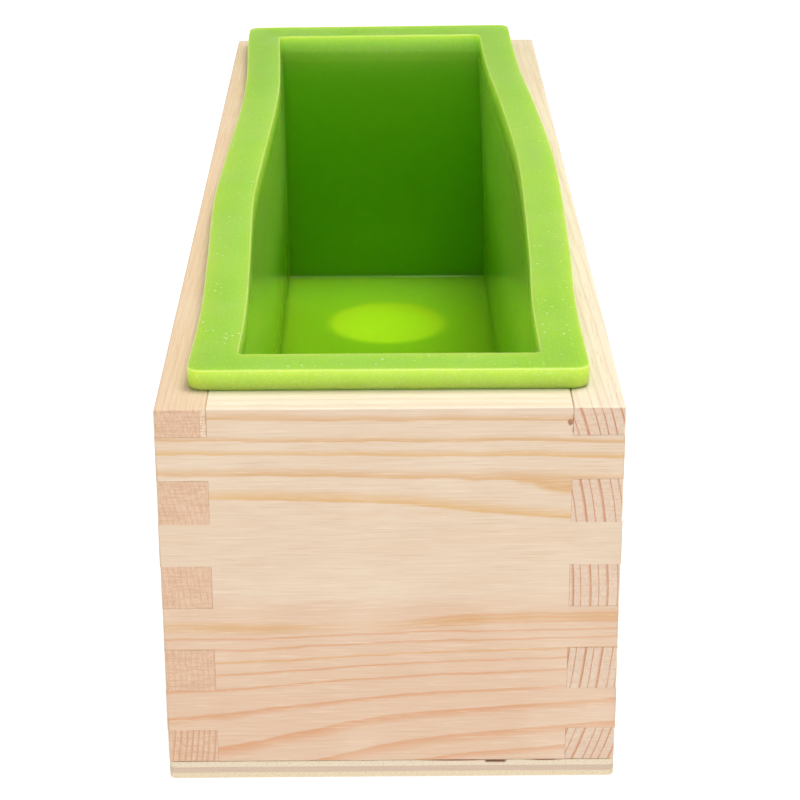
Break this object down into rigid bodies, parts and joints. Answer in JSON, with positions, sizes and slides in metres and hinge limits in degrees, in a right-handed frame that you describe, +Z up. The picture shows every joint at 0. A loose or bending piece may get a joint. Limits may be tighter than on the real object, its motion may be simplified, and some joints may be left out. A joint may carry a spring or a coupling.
{
  "type": "soap loaf mould",
  "caption": "Finger-jointed pine box with a plywood base and push-out holes, holding a green silicone loaf liner whose flange rests on the board tops.",
  "frame": {"origin": "middle of the box's underside, at the centre of the base's footprint, on the surface the box stands on", "axes": "+Z up out of the mould's mouth, +Y along the loaf's length, +X across the width; the end board at -Y is the front"},
  "size_m": [0.09, 0.295, 0.0854],
  "materials": {
    "end_board_pine": "bare sanded pine",
    "side_board_pine": "bare sanded pine",
    "plywood": "bare three-ply plywood",
    "nail_steel": "plain steel",
    "green_silicone": "satin translucent silicone"
  },
  "bodies": {
    "box": {"front_end_board": "end_board_pine", "rear_end_board": "end_board_pine", "left_side_board": "side_board_pine", "right_side_board": "side_board_pine", "plywood_base": "plywood", "base_nails": "nail_steel"},
    "liner": {"silicone_liner": "green_silicone"}
  },
  "joints": [
    {"name": "liner_lift", "type": "slide", "parent": "box", "child": "liner", "axis": [0, 0, 1], "range_m": [0, 0.1]}
  ]
}
